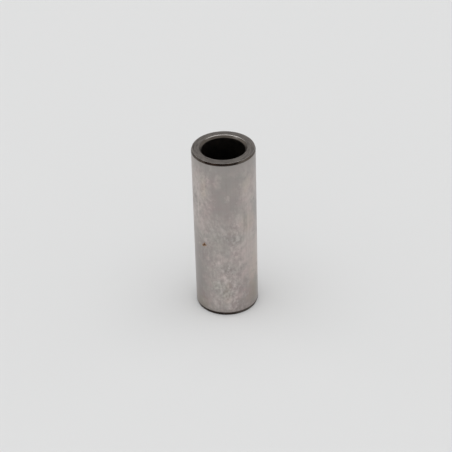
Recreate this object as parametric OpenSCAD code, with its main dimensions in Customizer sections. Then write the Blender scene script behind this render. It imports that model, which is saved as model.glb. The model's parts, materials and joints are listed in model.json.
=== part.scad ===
// Hollow gudgeon pin: the steel tube that joins a piston to its connecting rod.
// One turned, case-hardened and ground piece, standing on end with its axis on Z.
// The lower end face lies on Z = 0, and the two ends are alike.

/* [Barrel] */
// Outside diameter of the ground barrel
barrel_d = 22; // [19:0.1:40]
// Length over the two end faces
pin_length = 63; // [20:0.5:150]

/* [Bore] */
// Diameter of the bore that runs right through
bore_d = 15; // [4:0.1:18]

/* [Lead chamfer] */
// Length of the lead chamfer along the pin
lead_length = 0.75; // [0.4:0.05:2]
// Angle of the lead chamfer to the pin's axis
lead_angle = 20; // [10:1:45]
// Radius where the lead chamfer meets the end face
rim_radius = 0.15; // [0.05:0.05:0.4]
// Radius where the lead chamfer meets the barrel
shoulder_radius = 0.5; // [0.1:0.1:2]

/* [Bore mouth] */
// Depth of the countersink along the pin
mouth_depth = 0.85; // [0.4:0.05:1.5]
// Angle of the countersink to the pin's axis
mouth_angle = 40; // [20:1:60]
// Radius where the countersink meets the end face
mouth_radius = 0.25; // [0.05:0.05:0.5]

/* [Hidden] */
$fn = 128;
barrel_r = barrel_d / 2;
bore_r = bore_d / 2;
half_length = pin_length / 2;
// Radii of the flat end face, before its two edges are rounded
face_outer_r = barrel_r - lead_length * tan(lead_angle);
face_inner_r = bore_r + mouth_depth * tan(mouth_angle);
steel_grey = [0.59, 0.565, 0.55];

// Half of the wall's section, from mid-length up to an end face, with sharp edges.
module sharp_section() {
    polygon([
        [bore_r, 0],
        [barrel_r, 0],
        [barrel_r, half_length - lead_length],
        [face_outer_r, half_length],
        [face_inner_r, half_length],
        [bore_r, half_length - mouth_depth]
    ]);
}

// What an edge radius takes off a convex corner at the origin, where the material
// lies between two straight sides that leave the corner at angles start and stop.
module edge_sliver(radius, start, stop) {
    half_angle = (stop - start) / 2;
    tangent_length = radius / tan(half_angle);
    centre_distance = radius / sin(half_angle);
    middle = start + half_angle;
    difference() {
        polygon([
            [0, 0],
            tangent_length * [cos(start), sin(start)],
            tangent_length * [cos(stop), sin(stop)]
        ]);
        translate(centre_distance * [cos(middle), sin(middle)])
            circle(r = radius);
    }
}

// The same half section with its shoulder, rim and mouth edges rounded.
module rounded_section() {
    difference() {
        sharp_section();
        translate([barrel_r, half_length - lead_length])
            edge_sliver(shoulder_radius, 90 + lead_angle, 270);
        translate([face_outer_r, half_length])
            edge_sliver(rim_radius, 180, 270 + lead_angle);
        translate([face_inner_r, half_length])
            edge_sliver(mouth_radius, 270 - mouth_angle, 360);
    }
}

// The whole wall: the half section and its mirror image, turned about the axis.
module gudgeon_pin() {
    color(steel_grey)
        translate([0, 0, half_length])
            rotate_extrude() {
                rounded_section();
                mirror([0, 1])
                    rounded_section();
            }
}

gudgeon_pin();
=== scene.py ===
import cmath
import json
import math

import bpy
from mathutils import Matrix, Vector, noise


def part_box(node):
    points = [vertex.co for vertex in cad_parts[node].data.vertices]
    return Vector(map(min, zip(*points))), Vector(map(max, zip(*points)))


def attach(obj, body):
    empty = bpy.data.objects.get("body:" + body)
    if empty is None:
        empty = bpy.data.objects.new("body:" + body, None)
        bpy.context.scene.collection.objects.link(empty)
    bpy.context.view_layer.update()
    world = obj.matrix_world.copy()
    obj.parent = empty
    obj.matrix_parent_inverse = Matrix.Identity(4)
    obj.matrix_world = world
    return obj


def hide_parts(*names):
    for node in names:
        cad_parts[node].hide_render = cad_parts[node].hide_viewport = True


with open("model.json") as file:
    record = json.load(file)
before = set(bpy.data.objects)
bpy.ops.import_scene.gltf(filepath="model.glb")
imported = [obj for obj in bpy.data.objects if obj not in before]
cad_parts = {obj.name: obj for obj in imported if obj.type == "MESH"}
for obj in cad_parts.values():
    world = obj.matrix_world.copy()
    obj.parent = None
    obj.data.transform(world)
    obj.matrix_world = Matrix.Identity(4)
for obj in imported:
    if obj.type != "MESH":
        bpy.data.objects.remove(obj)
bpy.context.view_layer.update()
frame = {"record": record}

# A hollow gudgeon pin standing on its end: ground barrel, dark turned ends, blackened chamfers and bore.
# Lengths are in metres and angles in degrees, unless a name or a comment says otherwise.
MM = 0.001
PIN = "gudgeon_pin"

# Sizes of the pin that the frame gives
low_corner, high_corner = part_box(PIN)
mounts = {mount["name"]: mount for mount in frame["record"]["mounts"]}
PIN_LENGTH = high_corner.z - low_corner.z
BARREL_RADIUS = (high_corner.x - low_corner.x) / 2
BORE_RADIUS = mounts["bore"]["dims"]["r_mm"] * MM

# Edges of the two ends, as in the solid, and the small break where the countersink meets the bore
LEAD_LENGTH = 0.75 * MM
LEAD_ANGLE = 20
RIM_RADIUS = 0.15 * MM
SHOULDER_RADIUS = 0.5 * MM
MOUTH_DEPTH = 0.85 * MM
MOUTH_ANGLE = 40
MOUTH_RADIUS = 0.25 * MM
BORE_EDGE_RADIUS = 0.05 * MM

# How much the hand-broken edges wander round the pin, and where each of them reads the noise
EDGE_UNEVENNESS = 0.15
EDGE_WAVES_PER_MM = 0.35
UPPER_SEED = 0
LOWER_SEED = 50
MOUTH_SEED_STEP = 5

# Wear of the edges, from 0 for none to 1 for bright, and how far it reaches onto the face. The rim is
# brighter in front, which is a painted highlight. The mouth's edge has a painted highlight, bright round
# its glinting side and fading further round, between two cosines of the angle from there, over a little
# wear.
SHOULDER_WEAR = 0.3
RIM_WEAR = 0.3
RIM_GLINT_IN_FRONT = 0.3
WEAR_REACH = 0.05 * MM
GLINTING_SIDE = 172
BRIGHT_COSINE = 0.75
FADED_COSINE = 0.5
LEAST_MOUTH_WEAR = 0.05
# Where the countersink below gets a painted highlight: angle, half width in degrees and strength
COUNTERSINK_GLINTS = ((145, 14, 0.25), (180, 60, 0.02), (-140, 10, 0.08))

# How far scale runs onto the barrel and up the countersink. At the foot its longer reach onto the barrel
# is partly painted shade.
UPPER_SCALE_REACH = 0.04 * MM
LOWER_SCALE_AND_SHADE_REACH = 0.4 * MM
BORE_SCALE_REACH = 0.1 * MM

# Fineness of the turned mesh, how many points of the rim's arc are worn, with a painted highlight in
# front, how many of the mouth's arc carry the countersink's painted highlight, and how far from an arc a
# ring keeps the flat beside it flat
SEGMENTS = 320
ARC_STEPS = 6
RIM_WORN_POINTS = 3
MOUTH_GLINT_POINTS = 2
HOLD = 0.04 * MM

# Unrolled sheet that a finish is baked onto: the share of each of the pin's surfaces, and the margin
SHEET_SHARES = {"barrel": 1.0, "lead": 2.0, "face": 2.0, "mouth": 2.0, "bore": 0.25}
SHEET_MARGIN = 0.004

# Stains on the barrel. Angles are counted from the side that faces the camera, towards +X.
# Each is angle, height, half width and half height in mm, and strength. A cool shade is smooth whatever
# its strength, a pale cloud also tells how lumpy it is, and a dark spot lies over the clouds. Some shades
# on the lower sides are partly painted shade, and some clouds on the right side are partly painted sheen.
COOL_SHADES = (
    (4, 51, 6.5, 12.0, 0.6),
    (-2, 37, 3.0, 9.0, 0.3),
    # The next three are partly stains and partly painted shade, darkening the barrel's lower sides
    (-70, 15, 6.5, 16.0, 0.85),
    (-74, 6, 5.0, 10.0, 1.0),
    (62, 6, 6.0, 6.0, 0.7),
    (56, 34, 5.0, 24.0, 0.0),
    (172, 46, 6.0, 12.0, 0.5),
    (-134, 17, 5.0, 14.0, 0.6),
    (133, 40, 3.5, 17.0, 0.2),
    (140, 8, 5.0, 8.0, 0.5),
)
PALE_CLOUDS = (
    (-63, 49, 5.5, 13.0, 0.95, 0.6),
    (-56, 37, 3.0, 3.0, 0.4, 0.4),
    # The next four are partly stains and partly painted sheen where the right lamp lights the barrel
    (43, 34, 4.0, 23.0, 0.85, 0.25),
    (42, 36, 0.9, 26.0, 0.4, 0.1),
    (42, 26, 4.0, 5.0, 0.4, 0.3),
    (70, 22, 4.5, 11.0, 1.0, 0.1),
    (-4, 14, 5.5, 12.0, 0.45, 0.85),
    (18, 32, 3.0, 10.0, 0.05, 0.7),
    (12, 28, 2.0, 2.5, 0.3, 0.6),
    (-24, 36, 4.0, 6.0, 0.25, 0.5),
    (-10, 57, 1.1, 1.6, 0.3, 0.4),
    (-12, 54.5, 1.2, 1.9, 0.55, 0.4),
    (4, 49, 0.9, 1.5, 0.35, 0.6),
    (-3, 35.5, 3.0, 5.0, 0.1, 0.5),
    (24, 40, 1.8, 1.6, 0.6, 0.6),
    (45, 48.5, 1.6, 4.0, 0.8, 0.2),
    (32, 29, 2.2, 2.5, 0.7, 0.5),
    (46, 26, 2.5, 8.0, 0.8, 0.2),
    (72, 51, 3.0, 4.5, 0.6, 0.2),
    (-4, 25, 6.0, 1.8, 0.4, 0.4),
    (-10, 14, 2.5, 3.0, 0.4, 0.8),
    (21, 7.5, 1.6, 1.6, 0.5, 0.6),
    (-15, 5.5, 2.5, 2.0, 0.35, 0.7),
    (-29, 23.5, 2.0, 1.5, 0.3, 0.5),
)
DARK_SPOTS = (
    (-76, 45.5, 3.0, 4.5, 0.6),
    (4, 19.2, 2.0, 2.2, 0.8),
    (20, 31.8, 2.6, 2.2, 0.8),
    (-9, 32.5, 2.6, 1.6, 0.5),
    (14, 2, 4.0, 1.8, 0.7),
    (24, 4, 3.0, 3.0, 0.45),
    (31, 12, 3.5, 3.0, 0.35),
    (25, 44, 2.5, 3.5, 0.4),
    (38.5, 40, 0.9, 5.0, 0.5),
    (5, 9.5, 2.4, 2.2, 0.8),
    (64, 10, 4.0, 2.0, 0.4),
)
YELLOW_TINGES = (
    (-41, 52, 1.5, 4.0, 0.7),
    (42, 53, 1.8, 3.5, 0.5),
    (46, 38, 4.0, 3.5, 0.6),
    (1, 9, 1.5, 4.5, 0.5),
    (67, 16, 3.5, 12.0, 0.7),
    (-64, 3, 5.0, 3.5, 1.0),
    (57, 6.5, 4.0, 4.0, 0.9),
)
MAUVE_TINGES = (
    (24, 18, 6.0, 10.0, 0.6),
    (-22, 43, 7.0, 4.0, 0.6),
    (-68, 14, 5.0, 15.0, 0.7),
    (-66, 6, 4.5, 3.5, 0.5),
    (-9, 55, 3.0, 3.5, 0.7),
    (50, 7, 6.0, 6.0, 0.7),
    (-20, 24.5, 5.0, 2.5, 0.6),
)
SAGE_TINGES = (
    (-64, 56, 4.0, 3.0, 0.8),
    (-8, 15, 5.0, 6.0, 0.9),
    (-40, 14, 5.0, 5.0, 0.8),
    (-18, 29, 5.5, 3.5, 0.9),
    (-45, 33, 6.0, 4.0, 0.6),
)
# A patch is full and has ended this far out, in half widths and half heights, and its edge is ragged
PATCH_FULL = 0.5
PATCH_END = 1.3
PATCH_RAGGEDNESS = 0.5
# Heights between which the barrel turns a darker grey towards its top, and darker with painted shade
# towards its foot
TOP_GREY_FROM = PIN_LENGTH - 6.0 * MM
TOP_GREY_TO = PIN_LENGTH - 1.0 * MM
FOOT_SHADE_FROM = 3.0 * MM
FOOT_SHADE_TO = 0.3 * MM

# Colours of the barrel: its ground runs between the two greys, the others lie over it, and tints multiply
GREEN_GREY = (0.371, 0.345, 0.329, 1.0)
PINK_GREY = (0.435, 0.387, 0.367, 1.0)
COOL = (0.340, 0.317, 0.301, 1.0)
PALE = (0.521, 0.464, 0.439, 1.0)
LUMP = (0.657, 0.602, 0.577, 1.0)
HOLLOW = (0.290, 0.262, 0.250, 1.0)
# A darker grey towards the top, and painted shade towards the foot
TOP_GREY = (0.332, 0.317, 0.302, 1.0)
FOOT_SHADE = (0.250, 0.215, 0.196, 1.0)
RUSTY = (0.320, 0.190, 0.120, 1.0)
YELLOW_TINT = (1.0, 0.99, 0.93, 1.0)
MAUVE_TINT = (1.02, 0.985, 0.995, 1.0)
SAGE_TINT = (0.985, 1.007, 0.997, 1.0)

# How close the barrel's marks lie, per metre, or per metre in x, y and z where they are drawn out
STAINS = 190.0
WANDERINGS = 330.0
MOTTLES = 70.0
HUES = 240.0
CRUMBS = (850.0, 850.0, 560.0)
STREAKS = (1500.0, 1500.0, 60.0)
GROUND_LINES = (60.0, 60.0, 16000.0)
GROUND_LINE_DEPTH = 0.002 * MM

# Colours of the turned ends, and how close their marks lie, per metre
FACE_PLAIN = (0.094, 0.084, 0.077, 1.0)
FACE_RINGED = (0.230, 0.206, 0.188, 1.0)
MOUTH_PLAIN = (0.069, 0.060, 0.051, 1.0)
MOUTH_RINGED = (0.105, 0.090, 0.077, 1.0)
# Bright steel of worn edges and of painted highlights
BARE_STEEL_AND_GLINT = (0.86, 0.82, 0.79, 1.0)
TURNED_RINGS = 3500.0
RING_BREAKS = 350.0
WORN_PATCHES = 500.0

# Scale: how close its patches lie, per metre, and its thickest stretch on the leads, partly a painted dark
# reflection, as the angle, height, half width and half height in mm of a patch so tall that both ends have
# it
SCALE_PATCHES = 600.0
THIN_SCALE = 130.0
SCALE_RAGGEDNESS = 0.35
THICK_SCALE_AND_DARK_REFLECTION = (-12, PIN_LENGTH / MM / 2, 7.6, PIN_LENGTH / MM * 4)

# Roughness of each finish where it is plain, and where it is fully mottled, worn, scaled or patchy
BARREL_ROUGHNESS = (0.34, 0.46)
TURNED_ROUGHNESS = (0.39, 0.16)
LEAD_ROUGHNESS = (0.38, 0.55)
BORE_ROUGHNESS = (0.45, 0.6)
DRY_ROUGHNESS = 0.9

# Rust spot on the barrel: the way of each corner and its length as a share of the size, the waves of its
# ragged edge, and how close its crumbs lie, per metre
RUST_ANGLE = -42.2
RUST_HEIGHT = 28.9 * MM
RUST_SIZE = 0.48 * MM
RUST_CORNERS = ((223, 2.4), (350, 1.1), (90, 0.7))
RUST_CORNER_SHARPNESS = 6
RUST_RAGGEDNESS = 0.3
RUST_WAVES = 1.7
RUST_SEED = 3.0
RUST_THICKNESS = 0.05 * MM
RUST_SINK = 0.01 * MM
RUST_RINGS = 10
RUST_SECTORS = 48
RUST_CRUMBS = 5000.0
# Stain round the rust spot, told like those above
RUST_HALO = (RUST_ANGLE - 1, RUST_HEIGHT / MM - 0.3, 1.2, 0.8, 0.45)

# Camera, fitted to the pin's edges in the photograph
CAMERA_ELEVATION = 33.968
CAMERA_ROLL = 1.5956
CAMERA_DISTANCE = 573.33 * MM
CAMERA_AIM = Vector((0.186 * MM, 0.0, 30.783 * MM))
CAMERA_LENS_MM = 130.476
SENSOR_MM = 36.0

# Floor and light. The sky's level goes by the height of the way into it.
FLOOR_SIZE = 8.0
FLOOR_COLOUR = (0.735, 0.738, 0.738, 1.0)
SKY_STEPS = ((0.0, 0.73), (0.3, 0.94), (0.7, 0.15), (1.0, 0.12))
# Each lamp is far away: its angle from the front, its elevation, its strength and how wide it looks
LAMPS = {
    "left_lamp": (-90.0, 38.0, 0.57, 75.0),
    "right_lamp": (90.0, 38.0, 0.51, 75.0),
    "front_lamp": (0.0, 30.0, 0.50, 75.0),
    "back_lamp": (180.0, 30.0, 0.10, 60.0),
    "overhead_lamp": (0.0, 90.0, 1.13, 70.0),
}


def about_axis(angle, height, radius):
    """The point at this angle in radians, which is 0 on the side facing the camera along -Y."""
    return Vector((radius * math.sin(angle), -radius * math.cos(angle), height))


# Section of the wall. A half section is a list of (point, zone, wear and glint): a point is radius + i *
# height above mid-length, zone names the surface from this point to the next, and wear and glint tells how
# bright the edge is made, by real wear and by painted highlights.
# Angles round the pin are in radians here.

# Corners of an end, and the ways down its two tapers
HALF_LENGTH = PIN_LENGTH / 2
LEAD_INSET = LEAD_LENGTH * math.tan(math.radians(LEAD_ANGLE))
MOUTH_FLARE = MOUTH_DEPTH * math.tan(math.radians(MOUTH_ANGLE))
BARREL_MIDDLE = complex(BARREL_RADIUS, 0)
SHOULDER = complex(BARREL_RADIUS, HALF_LENGTH - LEAD_LENGTH)
RIM = complex(BARREL_RADIUS - LEAD_INSET, HALF_LENGTH)
MOUTH = complex(BORE_RADIUS + MOUTH_FLARE, HALF_LENGTH)
BORE_EDGE = complex(BORE_RADIUS, HALF_LENGTH - MOUTH_DEPTH)
BORE_MIDDLE = complex(BORE_RADIUS, 0)
DOWN_LEAD = (SHOULDER - RIM) / abs(SHOULDER - RIM)
DOWN_MOUTH = (BORE_EDGE - MOUTH) / abs(BORE_EDGE - MOUTH)


def rounded_corner(before, corner, after, radius):
    """Points of the arc that rounds a corner, from one tangent point to the other."""
    into = (corner - before) / abs(corner - before)
    out = (after - corner) / abs(after - corner)
    turn = cmath.phase(out / into)
    start = corner - into * radius * math.tan(abs(turn) / 2)
    centre = start + into * complex(0, math.copysign(radius, turn))
    turns = [cmath.exp(1j * turn * step / ARC_STEPS) for step in range(ARC_STEPS + 1)]
    return [centre + (start - centre) * part for part in turns]


def edge_radius(radius, angle, seed):
    """An edge radius that wanders a little round the pin, as a hand-broken edge does."""
    place = about_axis(angle, seed, BARREL_RADIUS / MM * EDGE_WAVES_PER_MM)
    return radius * (1 + EDGE_UNEVENNESS * noise.noise(place))


def mouth_wear_and_glint(angle):
    """How bright the mouth's edge is at this angle: a little wear all round, and a painted highlight round
    its glinting side.
    """
    facing = math.cos(angle - math.radians(GLINTING_SIDE))
    share = (facing - FADED_COSINE) / (BRIGHT_COSINE - FADED_COSINE)
    return min(1.0, max(LEAST_MOUTH_WEAR, share))


def countersink_glint(angle):
    """How bright the countersink's painted highlight is at this angle."""
    most = 0.0
    for middle, half_width, strength in COUNTERSINK_GLINTS:
        off = math.degrees(math.acos(math.cos(angle - math.radians(middle))))
        most = max(most, strength * (1 - off / half_width))
    return most


def outer_section(angle, seed, scale_reach):
    """The outer part of a half section: from mid-length of the barrel over the lead onto the face."""
    shoulder_arc = rounded_corner(BARREL_MIDDLE, SHOULDER, RIM, SHOULDER_RADIUS)
    rim_arc = rounded_corner(SHOULDER, RIM, MOUTH, edge_radius(RIM_RADIUS, angle, seed))
    # Painted highlight: the rim is brighter in front, towards the camera
    rim_wear_and_glint = RIM_WEAR + RIM_GLINT_IN_FRONT * max(0.0, math.cos(angle))
    section = [(BARREL_MIDDLE, "barrel", 0.0)]
    section.append((shoulder_arc[0] - 1j * scale_reach, "lead", 0.0))
    section += [(point, "lead", SHOULDER_WEAR) for point in shoulder_arc]
    section.append((shoulder_arc[-1] - DOWN_LEAD * HOLD, "lead", 0.0))
    section.append((rim_arc[0] + DOWN_LEAD * HOLD, "lead", 0.0))
    section += [(point, "lead", 0.0) for point in rim_arc[:-RIM_WORN_POINTS]]
    section += [(point, "face", rim_wear_and_glint) for point in rim_arc[-RIM_WORN_POINTS:]]
    section.append((rim_arc[-1] - WEAR_REACH, "face", 0.0))
    return section


def inner_section(angle, seed):
    """The inner part of a half section: from the face down the countersink to mid-length of the bore."""
    mouth_radius = edge_radius(MOUTH_RADIUS, angle, seed + MOUTH_SEED_STEP)
    mouth_arc = rounded_corner(RIM, MOUTH, BORE_EDGE, mouth_radius)
    bore_arc = rounded_corner(MOUTH, BORE_EDGE, BORE_MIDDLE, BORE_EDGE_RADIUS)
    # Painted highlight on the mouth's edge and down the countersink, over a little wear
    worn_and_glinting = mouth_wear_and_glint(angle)
    glint = countersink_glint(angle)
    section = [(mouth_arc[0] + WEAR_REACH, "face", 0.0)]
    section += [(point, "mouth", worn_and_glinting) for point in mouth_arc[:-MOUTH_GLINT_POINTS]]
    section += [(point, "mouth", glint) for point in mouth_arc[-MOUTH_GLINT_POINTS:]]
    section.append((mouth_arc[-1] + DOWN_MOUTH * HOLD, "mouth", glint))
    section.append((bore_arc[0] - DOWN_MOUTH * BORE_SCALE_REACH, "bore", 0.0))
    section += [(point, "bore", 0.0) for point in bore_arc]
    section.append((bore_arc[-1] - 1j * HOLD, "bore", 0.0))
    section.append((BORE_MIDDLE, "bore", 0.0))
    return section


def half_section(angle, seed, scale_reach):
    """The wall's section from mid-length of the barrel, over an end face, to mid-length of the bore."""
    return outer_section(angle, seed, scale_reach) + inner_section(angle, seed)


def whole_section(angle):
    """The closed section: the upper half, then the lower one run backwards, each with its own edges."""
    upper = half_section(angle, UPPER_SEED, UPPER_SCALE_REACH)
    # At the foot the scale's longer reach onto the barrel is partly painted shade
    lower = half_section(angle, LOWER_SEED, LOWER_SCALE_AND_SHADE_REACH)
    rings = upper[:-1]
    for k in range(len(lower) - 1, 0, -1):
        point, _, wear_and_glint = lower[k]
        rings.append((point.conjugate(), lower[k - 1][1], wear_and_glint))
    return rings


# Shader nodes

# Sockets of a colour mix
MIX_FACTOR = 0
MIX_FIRST = 6
MIX_SECOND = 7
MIX_RESULT = 2


def feed(tree, socket, value):
    """Links an output to a socket, or sets the socket to a plain value."""
    if isinstance(value, bpy.types.NodeSocket):
        tree.links.new(value, socket)
    else:
        socket.default_value = value


def add(tree, kind, inputs=None, **settings):
    """Adds a node, sets its options, and links or sets each named or numbered input."""
    made = tree.nodes.new(kind)
    for name, value in settings.items():
        setattr(made, name, value)
    for name, value in (inputs or {}).items():
        feed(tree, made.inputs[name], value)
    return made


def mix(tree, factor, first, second, blend="MIX"):
    """The mix of two colours, or their product where blend says so."""
    inputs = {MIX_FACTOR: factor, MIX_FIRST: first, MIX_SECOND: second}
    return add(tree, "ShaderNodeMix", inputs, data_type="RGBA", blend_type=blend).outputs[MIX_RESULT]


def calculate(tree, operation, first, second):
    """A sum, product or the like of two numbers."""
    return add(tree, "ShaderNodeMath", {0: first, 1: second}, operation=operation).outputs[0]


def on_vector(tree, operation, first, second):
    """A vector sum, product or the like."""
    return add(tree, "ShaderNodeVectorMath", {0: first, 1: second}, operation=operation).outputs[0]


def length_of(tree, vector):
    """The length of a vector."""
    return add(tree, "ShaderNodeVectorMath", {0: vector}, operation="LENGTH").outputs["Value"]


def spread(tree, value, low, high, to_low=0.0, to_high=1.0):
    """A value from low to high, stretched to the range from to_low to to_high and held inside it."""
    inputs = {"Value": value, "From Min": low, "From Max": high, "To Min": to_low, "To Max": to_high}
    return add(tree, "ShaderNodeMapRange", inputs).outputs[0]


def between(tree, share, first, last):
    """The number that lies this share of the way from the first to the last."""
    return spread(tree, share, low=0.0, high=1.0, to_low=first, to_high=last)


def grain(tree, vector, scale, detail=2.0, roughness=0.5, distortion=0.0):
    """Soft noise, from about 0.3 to 0.7, with features about 1 / scale long."""
    inputs = {"Vector": vector, "Scale": scale, "Detail": detail, "Roughness": roughness}
    inputs["Distortion"] = distortion
    return add(tree, "ShaderNodeTexNoise", inputs).outputs[0]


def drawn_grain(tree, vector, scales, **fineness):
    """Soft noise that is drawn out, with a scale of its own in x, y and z."""
    return grain(tree, on_vector(tree, "MULTIPLY", vector, scales), 1.0, **fineness)


def places(tree):
    """The surface's own places in the frame, in metres."""
    return add(tree, "ShaderNodeTexCoord").outputs["Object"]


def from_mesh(tree, name):
    """A number that the mesh stores for each vertex."""
    return add(tree, "ShaderNodeAttribute", attribute_name=name).outputs["Fac"]


def patch(tree, where, wander, angle, height, half_width, half_height):
    """A soft patch on the barrel, 1 in its middle and 0 outside, with an edge that wanders."""
    centre = about_axis(math.radians(angle), height * MM, BARREL_RADIUS)
    offset = on_vector(tree, "SUBTRACT", where, centre)
    stretch = (1 / (half_width * MM), 1 / (half_width * MM), 1 / (half_height * MM))
    distance = length_of(tree, on_vector(tree, "MULTIPLY", offset, stretch))
    return spread(tree, calculate(tree, "ADD", distance, wander), low=PATCH_END, high=PATCH_FULL)


def patched(tree, where, wander, colour, over, patches, blend="MIX"):
    """The colour with another one over it in each of these patches, as strongly as the patch says."""
    for *place, strength in patches:
        cover = calculate(tree, "MULTIPLY", patch(tree, where, wander, *place), strength)
        colour = mix(tree, cover, colour, over, blend)
    return colour


# Materials


def new_material(name, metallic, roughness=0.5):
    """A material with one Principled shader."""
    material = bpy.data.materials.new(name)
    material.use_nodes = True
    tree = material.node_tree
    shader = tree.nodes["Principled BSDF"]
    shader.inputs["Metallic"].default_value = metallic
    shader.inputs["Roughness"].default_value = roughness
    return material, tree, shader


def stained_and_shaded(tree, where, wander):
    """The barrel's stained colour, with painted shade and sheen at its sides, and how mottled the barrel
    is.
    """
    stain = spread(tree, grain(tree, where, STAINS, detail=4.0, roughness=0.6), low=0.40, high=0.60)
    colour = mix(tree, stain, GREEN_GREY, PINK_GREY)
    mottled = spread(tree, grain(tree, where, MOTTLES), low=0.46, high=0.58, to_low=0.3, to_high=0.8)
    for *place, strength in COOL_SHADES:
        shade = patch(tree, where, wander, *place)
        colour = mix(tree, calculate(tree, "MULTIPLY", shade, strength), colour, COOL)
        mottled = calculate(tree, "SUBTRACT", mottled, shade)
    for *place, strength, lumpy in PALE_CLOUDS:
        cloud = patch(tree, where, wander, *place)
        colour = mix(tree, calculate(tree, "MULTIPLY", cloud, strength), colour, PALE)
        mottled = calculate(tree, "MAXIMUM", mottled, calculate(tree, "MULTIPLY", cloud, lumpy))
    return patched(tree, where, wander, colour, COOL, DARK_SPOTS), mottled


def crumbled(tree, where, colour, mottled):
    """The colour with pale lumps and dark hollows where the barrel is mottled."""
    crumbs = drawn_grain(tree, where, CRUMBS, detail=6.0, roughness=0.68, distortion=0.1)
    raised = spread(tree, crumbs, low=0.48, high=0.64, to_high=0.8)
    sunk = spread(tree, crumbs, low=0.49, high=0.35, to_high=0.65)
    colour = mix(tree, calculate(tree, "MULTIPLY", raised, mottled), colour, LUMP)
    return mix(tree, calculate(tree, "MULTIPLY", sunk, mottled), colour, HOLLOW)


def tinged(tree, where, wander, colour):
    """The colour with faint hues that come and go all over, and with its tinges."""
    hue = grain(tree, where, HUES, detail=3.0)
    colour = mix(tree, spread(tree, hue, low=0.50, high=0.66), colour, MAUVE_TINT, "MULTIPLY")
    colour = mix(tree, spread(tree, hue, low=0.48, high=0.32), colour, SAGE_TINT, "MULTIPLY")
    colour = patched(tree, where, wander, colour, YELLOW_TINT, YELLOW_TINGES, "MULTIPLY")
    colour = patched(tree, where, wander, colour, MAUVE_TINT, MAUVE_TINGES, "MULTIPLY")
    return patched(tree, where, wander, colour, SAGE_TINT, SAGE_TINGES, "MULTIPLY")


def marked_and_shaded(tree, where, wander, colour):
    """The colour with dark streaks along the pin, a darker top, painted shade at the foot and a stain
    round the rust.
    """
    streaks = drawn_grain(tree, where, STREAKS, detail=3.0)
    colour = mix(tree, spread(tree, streaks, low=0.5, high=0.75, to_high=0.25), colour, HOLLOW)
    height = add(tree, "ShaderNodeSeparateXYZ", {"Vector": where}).outputs["Z"]
    towards_top = spread(tree, height, low=TOP_GREY_FROM, high=TOP_GREY_TO, to_high=0.7)
    # Painted shade: the barrel darkens towards its foot
    foot_shade = spread(tree, height, low=FOOT_SHADE_FROM, high=FOOT_SHADE_TO, to_high=0.4)
    colour = mix(tree, towards_top, colour, TOP_GREY)
    colour = mix(tree, foot_shade, colour, FOOT_SHADE)
    return patched(tree, where, wander, colour, RUSTY, [RUST_HALO])


def ground_steel():
    """The ground barrel: warm grey, stained pink and green-grey, with mottled clouds and fine lines, and
    painted shade and sheen at its sides and foot.
    """
    material, tree, shader = new_material("ground_steel", metallic=1.0)
    where = places(tree)
    wander = spread(tree, grain(tree, where, WANDERINGS, detail=5.0, roughness=0.75), low=0.35, high=0.65,
                    to_low=-PATCH_RAGGEDNESS, to_high=PATCH_RAGGEDNESS)
    colour, mottled = stained_and_shaded(tree, where, wander)
    colour = crumbled(tree, where, colour, mottled)
    colour = tinged(tree, where, wander, colour)
    colour = marked_and_shaded(tree, where, wander, colour)
    feed(tree, shader.inputs["Base Color"], colour)
    feed(tree, shader.inputs["Roughness"], between(tree, mottled, *BARREL_ROUGHNESS))
    lines = drawn_grain(tree, where, GROUND_LINES, detail=3.0, roughness=0.6)
    bump = add(tree, "ShaderNodeBump", {"Height": lines, "Distance": GROUND_LINE_DEPTH, "Strength": 1.0})
    feed(tree, shader.inputs["Normal"], bump.outputs[0])
    return material


def turned_steel(name, plain, ringed):
    """An unground turned surface: dark grey steel with faint rings about the axis, and bright edges that
    are partly worn and partly a painted highlight.
    """
    material, tree, shader = new_material(name, metallic=1.0)
    where = places(tree)
    radius = length_of(tree, on_vector(tree, "MULTIPLY", where, (1.0, 1.0, 0.0)))
    rise = calculate(tree, "MULTIPLY", radius, TURNED_RINGS)
    across = add(tree, "ShaderNodeCombineXYZ", {"Z": rise}).outputs[0]
    along = on_vector(tree, "MULTIPLY", where, (RING_BREAKS, RING_BREAKS, RING_BREAKS))
    marks = grain(tree, on_vector(tree, "ADD", along, across), 1.0, detail=4.0, roughness=0.6)
    colour = mix(tree, spread(tree, marks, low=0.35, high=0.65), plain, ringed)
    worn_and_glinting = spread(tree, grain(tree, where, WORN_PATCHES), low=0.3, high=0.7, to_low=0.7, to_high=1.0)
    wear_and_glint = calculate(tree, "MULTIPLY", worn_and_glinting, from_mesh(tree, "edge_wear_and_glint"))
    feed(tree, shader.inputs["Base Color"], mix(tree, wear_and_glint, colour, BARE_STEEL_AND_GLINT))
    feed(tree, shader.inputs["Roughness"], between(tree, wear_and_glint, *TURNED_ROUGHNESS))
    return material


def scale_patches(tree, where):
    """Where scale is browner, from 0 to 1."""
    return spread(tree, grain(tree, where, SCALE_PATCHES, detail=4.0, roughness=0.6), low=0.35, high=0.65)


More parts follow.
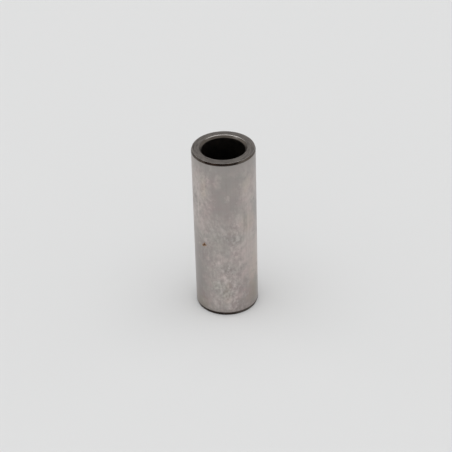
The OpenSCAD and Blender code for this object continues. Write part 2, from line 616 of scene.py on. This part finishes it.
def lead_scale():
    """The chamfers: dull dark steel under brown-black scale, thickest on the side facing the camera, where
    it is partly a painted dark reflection.
    """
    material, tree, shader = new_material("lead_scale", metallic=0.9)
    where = places(tree)
    dull = (0.104, 0.088, 0.074, 1.0)
    bare = (0.20, 0.18, 0.17, 1.0)
    black = (0.010, 0.006, 0.004, 1.0)
    brown = (0.027, 0.014, 0.009, 1.0)
    most_bare = 0.6
    patchy = scale_patches(tree, where)
    wander = between(tree, patchy, -SCALE_RAGGEDNESS, SCALE_RAGGEDNESS)
    # Thick scale on the side facing the camera, partly a painted dark reflection
    thick_and_reflection = patch(tree, where, wander, *THICK_SCALE_AND_DARK_REFLECTION)
    thin = spread(tree, grain(tree, where, THIN_SCALE), low=0.45, high=0.6, to_low=0.1, to_high=0.6)
    cover = calculate(tree, "MAXIMUM", thick_and_reflection, thin)
    colour = mix(tree, cover, dull, mix(tree, patchy, black, brown))
    wear_and_glint = calculate(tree, "MULTIPLY", from_mesh(tree, "edge_wear_and_glint"), most_bare)
    feed(tree, shader.inputs["Base Color"], mix(tree, wear_and_glint, colour, bare))
    feed(tree, shader.inputs["Roughness"], between(tree, cover, *LEAD_ROUGHNESS))
    return material


def bore_scale():
    """The bore: black with scale, a little browner in patches."""
    material, tree, shader = new_material("bore_scale", metallic=0.9)
    black = (0.015, 0.013, 0.012, 1.0)
    brown = (0.024, 0.019, 0.016, 1.0)
    patchy = scale_patches(tree, places(tree))
    feed(tree, shader.inputs["Base Color"], mix(tree, patchy, black, brown))
    feed(tree, shader.inputs["Roughness"], between(tree, patchy, *BORE_ROUGHNESS))
    return material


def rust():
    """Dry rust: dark brown in the middle, orange-brown and then a mere stain at its thin edge."""
    material, tree, shader = new_material("rust", metallic=0.0, roughness=DRY_ROUGHNESS)
    core = (0.050, 0.022, 0.010, 1.0)
    fringe = (0.260, 0.150, 0.078, 1.0)
    edge = (0.340, 0.250, 0.185, 1.0)
    marks = grain(tree, places(tree), RUST_CRUMBS, detail=3.0)
    crumbs = spread(tree, marks, low=0.3, high=0.7, to_low=-0.2, to_high=0.2)
    shade = calculate(tree, "ADD", from_mesh(tree, "thinness"), crumbs)
    colour = mix(tree, spread(tree, shade, low=0.35, high=0.7), core, fringe)
    colour = mix(tree, spread(tree, shade, low=0.7, high=1.0), colour, edge)
    feed(tree, shader.inputs["Base Color"], colour)
    return material


# Pieces


def new_piece(name, points, faces):
    """A smooth mesh object."""
    mesh = bpy.data.meshes.new(name)
    mesh.from_pydata(points, [], faces)
    mesh.shade_smooth()
    piece = bpy.data.objects.new(name, mesh)
    bpy.context.scene.collection.objects.link(piece)
    return piece


def set_attribute(piece, name, values):
    """Stores one number for each vertex."""
    piece.data.attributes.new(name, "FLOAT", "POINT").data.foreach_set("value", values)


def set_sheet(piece, corners):
    """Stores the place of each face corner on the flat sheet that the finish is baked onto."""
    sheet = piece.data.uv_layers.new(name="OFBake")
    sheet.data.foreach_set("uv", [part for corner in corners for part in corner])


def on_sheet(share):
    """A share of the way across or up the sheet, from margin to margin."""
    return SHEET_MARGIN + (1 - 2 * SHEET_MARGIN) * share


def sheet_rows(section):
    """How far up the sheet each ring of the section lies."""
    rows = [0.0]
    for k, (point, zone, _) in enumerate(section):
        after = section[(k + 1) % len(section)][0]
        rows.append(rows[-1] + abs(after - point) * SHEET_SHARES[zone])
    return [on_sheet(row / rows[-1]) for row in rows]


def turned_faces(section):
    """The faces from each section round the pin to the next, and their corners on the sheet."""
    rings = len(section)
    rows = sheet_rows(section)
    faces = []
    corners = []
    for step in range(SEGMENTS):
        here = step * rings
        there = (step + 1) % SEGMENTS * rings
        left = on_sheet(step / SEGMENTS)
        right = on_sheet((step + 1) / SEGMENTS)
        for ring in range(rings):
            after = (ring + 1) % rings
            low = rows[ring]
            high = rows[ring + 1]
            faces.append((here + ring, there + ring, there + after, here + after))
            corners += [(left, low), (right, low), (right, high), (left, high)]
    return faces, corners


def finished_pin():
    """The whole pin as one turned mesh, with a material for each of its surfaces."""
    surfaces = {
        "barrel": ground_steel(),
        "lead": lead_scale(),
        "face": turned_steel("turned_face", FACE_PLAIN, FACE_RINGED),
        "mouth": turned_steel("turned_mouth", MOUTH_PLAIN, MOUTH_RINGED),
        "bore": bore_scale(),
    }
    points = []
    wear_and_glint = []
    for step in range(SEGMENTS):
        angle = 2 * math.pi * step / SEGMENTS - math.pi
        section = whole_section(angle)
        points += [about_axis(angle, point.imag + HALF_LENGTH, point.real) for point, _, _ in section]
        wear_and_glint += [worn_and_glinting for _, _, worn_and_glinting in section]
    # Every section has the same rings and zones, so the last one stands for all of them
    faces, corners = turned_faces(section)
    pin = new_piece("finished_pin", points, faces)
    for material in surfaces.values():
        pin.data.materials.append(material)
    slots = [list(surfaces).index(zone) for _, zone, _ in section]
    pin.data.polygons.foreach_set("material_index", slots * SEGMENTS)
    set_attribute(pin, "edge_wear_and_glint", wear_and_glint)
    set_sheet(pin, corners)
    return pin


def rust_reach(way):
    """How far the rust reaches this way from its middle: ragged, and longer at its corners."""
    place = (RUST_WAVES * math.cos(way), RUST_WAVES * math.sin(way), RUST_SEED)
    reach = 1 + RUST_RAGGEDNESS * noise.noise(place)
    for corner, longer in RUST_CORNERS:
        facing = max(0.0, math.cos(way - math.radians(corner)))
        reach += longer * facing ** RUST_CORNER_SHARPNESS
    return RUST_SIZE * reach


def rust_points():
    """The spot's points, ring by ring from its top to its underside, and how thin it is at each."""
    middle = math.radians(RUST_ANGLE)
    points = [about_axis(middle, RUST_HEIGHT, BARREL_RADIUS + RUST_THICKNESS)]
    thinness = [0.0]
    for ring in range(1, RUST_RINGS + 1):
        share = ring / RUST_RINGS
        lift = RUST_THICKNESS * (1 - share ** 2) - RUST_SINK * share
        for sector in range(RUST_SECTORS):
            way = 2 * math.pi * sector / RUST_SECTORS
            reach = share * rust_reach(way)
            turn = middle + reach * math.cos(way) / BARREL_RADIUS
            points.append(about_axis(turn, RUST_HEIGHT + reach * math.sin(way), BARREL_RADIUS + lift))
            thinness.append(share)
    points.append(about_axis(middle, RUST_HEIGHT, BARREL_RADIUS - RUST_THICKNESS))
    thinness.append(1.0)
    return points, thinness


def rust_spot():
    """A small closed crust of rust on the barrel, thickest in the middle, with its edge sunk in."""
    points, thinness = rust_points()
    rows = [on_sheet(ring / (RUST_RINGS + 1)) for ring in range(RUST_RINGS + 2)]
    underside = len(points) - 1
    faces = []
    corners = []
    for sector in range(RUST_SECTORS):
        beside = (sector + 1) % RUST_SECTORS
        left = on_sheet(sector / RUST_SECTORS)
        right = on_sheet((sector + 1) / RUST_SECTORS)
        faces.append((0, 1 + sector, 1 + beside))
        corners += [(left, rows[0]), (left, rows[1]), (right, rows[1])]
        for ring in range(1, RUST_RINGS):
            inner = 1 + (ring - 1) * RUST_SECTORS
            outer = inner + RUST_SECTORS
            low = rows[ring]
            high = rows[ring + 1]
            faces.append((inner + sector, outer + sector, outer + beside, inner + beside))
            corners += [(left, low), (left, high), (right, high), (right, low)]
        faces.append((underside, outer + beside, outer + sector))
        corners += [(left, rows[-1]), (right, rows[-2]), (left, rows[-2])]
    spot = new_piece("rust_spot", points, faces)
    spot.data.materials.append(rust())
    set_attribute(spot, "thinness", thinness)
    set_sheet(spot, corners)
    return spot


# Stage


def floor():
    """A plain pale floor, which isn't part of the object."""
    half = FLOOR_SIZE / 2
    corners = [(-half, -half, 0.0), (half, -half, 0.0), (half, half, 0.0), (-half, half, 0.0)]
    plane = new_piece("floor", corners, [(0, 1, 2, 3)])
    material, _, shader = new_material("floor", metallic=0.0, roughness=DRY_ROUGHNESS)
    shader.inputs["Base Color"].default_value = FLOOR_COLOUR
    shader.inputs["Specular IOR Level"].default_value = 0.0
    plane.data.materials.append(material)


def lamps():
    """Broad soft lamps on all sides and overhead."""
    for name, (angle, elevation, strength, width) in LAMPS.items():
        lamp = bpy.data.lights.new(name, "SUN")
        lamp.energy = strength
        lamp.angle = math.radians(width)
        rise = math.radians(elevation)
        way = about_axis(math.radians(angle), math.sin(rise), math.cos(rise))
        made = bpy.data.objects.new(name, lamp)
        made.rotation_mode = "QUATERNION"
        made.rotation_quaternion = way.to_track_quat("Z", "Y")
        bpy.context.scene.collection.objects.link(made)


def sky():
    """Surroundings that are pale near the horizon and greyer overhead."""
    world = bpy.data.worlds.new("studio")
    bpy.context.scene.world = world
    world.use_nodes = True
    tree = world.node_tree
    way = add(tree, "ShaderNodeTexCoord").outputs["Generated"]
    height = add(tree, "ShaderNodeSeparateXYZ", {"Vector": way}).outputs["Z"]
    ramp = add(tree, "ShaderNodeValToRGB", {"Fac": height})
    while len(ramp.color_ramp.elements) < len(SKY_STEPS):
        ramp.color_ramp.elements.new(1.0)
    for element, (place, level) in zip(ramp.color_ramp.elements, SKY_STEPS):
        element.position = place
        element.color = (level, level, level, 1.0)
    feed(tree, tree.nodes["Background"].inputs["Color"], ramp.outputs["Color"])


def camera():
    """The photograph's camera: aimed at the pin's axis from above the front, rolled a little."""
    tilt = math.radians(CAMERA_ELEVATION)
    roll = math.radians(CAMERA_ROLL)
    back = Vector((0, -math.cos(tilt), math.sin(tilt)))
    right = Vector((1, 0, 0))
    up = back.cross(right)
    across = right * math.cos(roll) - up * math.sin(roll)
    upward = right * math.sin(roll) + up * math.cos(roll)
    lens = bpy.data.cameras.new("camera")
    lens.lens = CAMERA_LENS_MM
    lens.sensor_width = SENSOR_MM
    made = bpy.data.objects.new("camera", lens)
    bpy.context.scene.collection.objects.link(made)
    turned = Matrix((across, upward, back)).transposed().to_4x4()
    made.matrix_world = Matrix.Translation(CAMERA_AIM + back * CAMERA_DISTANCE) @ turned
    bpy.context.scene.camera = made


camera()
floor()
lamps()
sky()
bpy.context.scene.view_settings.view_transform = "Standard"

pin = finished_pin()
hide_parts(PIN)
for piece in (pin, rust_spot()):
    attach(piece, "root")
